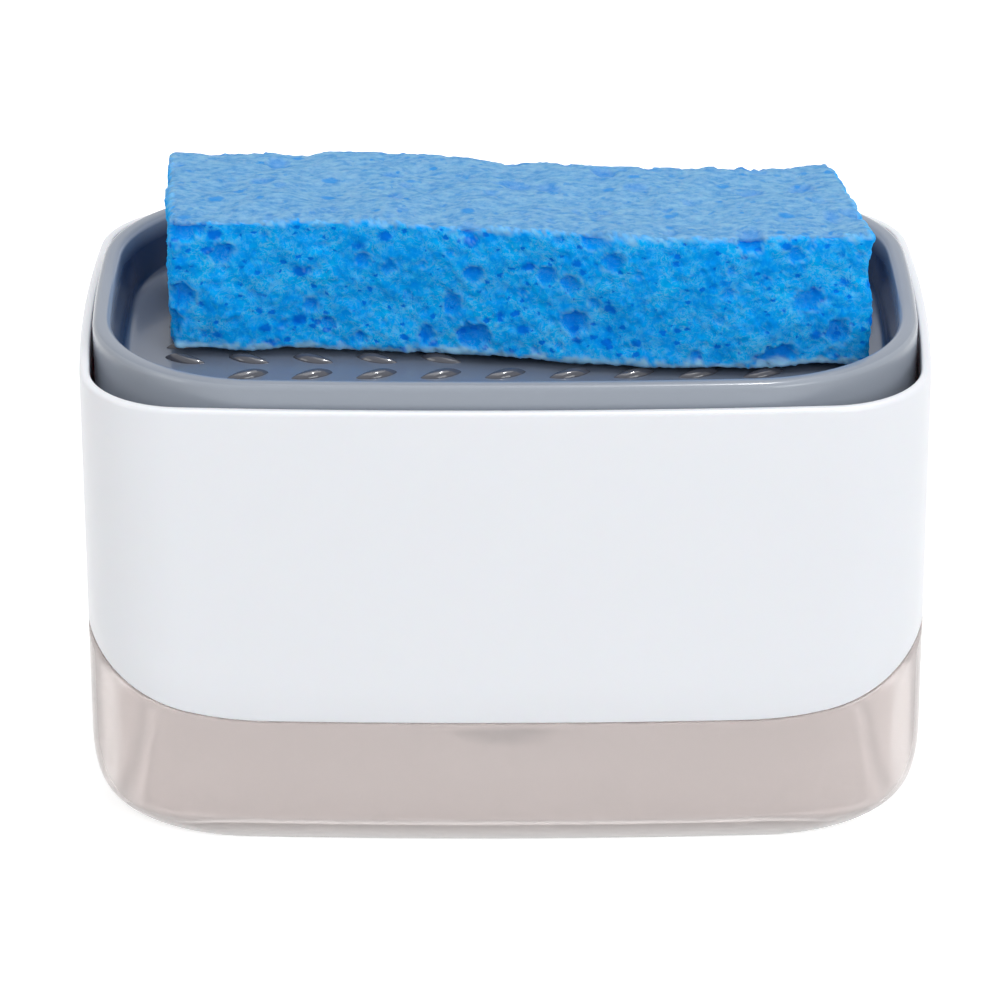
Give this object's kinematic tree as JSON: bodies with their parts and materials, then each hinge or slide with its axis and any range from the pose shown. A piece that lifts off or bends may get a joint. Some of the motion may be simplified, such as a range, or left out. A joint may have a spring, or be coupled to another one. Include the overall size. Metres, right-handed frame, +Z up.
{
  "type": "soap pump caddy",
  "caption": "Countertop caddy with a clear soap tank in a white sleeve; pressing its sponge tray pumps soap up under the sponge.",
  "frame": {"origin": "middle of the base, on the surface it stands on", "axes": "+X to the right along the length, -Y out of the front face, +Z up"},
  "size_m": [0.135, 0.087, 0.0924],
  "materials": {
    "clear_plastic": "clear, glossy",
    "white_plastic": "satin gloss",
    "deck_plastic": "moulded, matte",
    "grey_plastic": "gloss",
    "pump_plastic": "moulded, satin",
    "dark_rubber": "matte",
    "steel": "polished stainless",
    "blue_sponge": "open-pored cellulose"
  },
  "bodies": {
    "base": {"soap_tank": "clear_plastic", "outer_sleeve": "white_plastic"},
    "pump_unit": {"deck_plate": "deck_plastic", "deck_gasket": "dark_rubber", "pump_barrel": "pump_plastic", "barrel_gasket": "dark_rubber", "barrel_nut": "pump_plastic", "guide_cap": "grey_plastic", "stem_wiper": "dark_rubber", "inlet_foot": "pump_plastic", "inlet_seat": "pump_plastic", "ball_cage": "pump_plastic", "return_spring": "steel"},
    "inlet_valve": {"inlet_ball": "steel"},
    "press_top": {"piston": "pump_plastic", "piston_seal": "dark_rubber", "pump_stem": "pump_plastic", "pump_head": "grey_plastic", "press_tray": "grey_plastic", "outlet_nozzle": "grey_plastic", "nozzle_seal": "dark_rubber"},
    "outlet_valve": {"outlet_ball": "steel"},
    "sponge": {"sponge": "blue_sponge"}
  },
  "joints": [
    {"name": "pump_lift", "type": "slide", "parent": "base", "child": "pump_unit", "axis": [0, 0, 1], "range_m": [0, 0.085]},
    {"name": "tray_press", "type": "slide", "parent": "pump_unit", "child": "press_top", "axis": [0, 0, -1], "range_m": [0, 0.004], "stiffness_N_per_m": 700, "springref_m": -0.008, "deforming": ["return_spring"]},
    {"name": "sponge_lift", "type": "slide", "parent": "press_top", "child": "sponge", "axis": [0, 0, 1], "range_m": [0, 0.04]},
    {"name": "inlet_ball_lift", "type": "slide", "parent": "pump_unit", "child": "inlet_valve", "axis": [0, 0, 1], "range_m": [0, 0.0015]},
    {"name": "outlet_ball_lift", "type": "slide", "parent": "press_top", "child": "outlet_valve", "axis": [0, 0, 1], "range_m": [0, 0.001]}
  ]
}
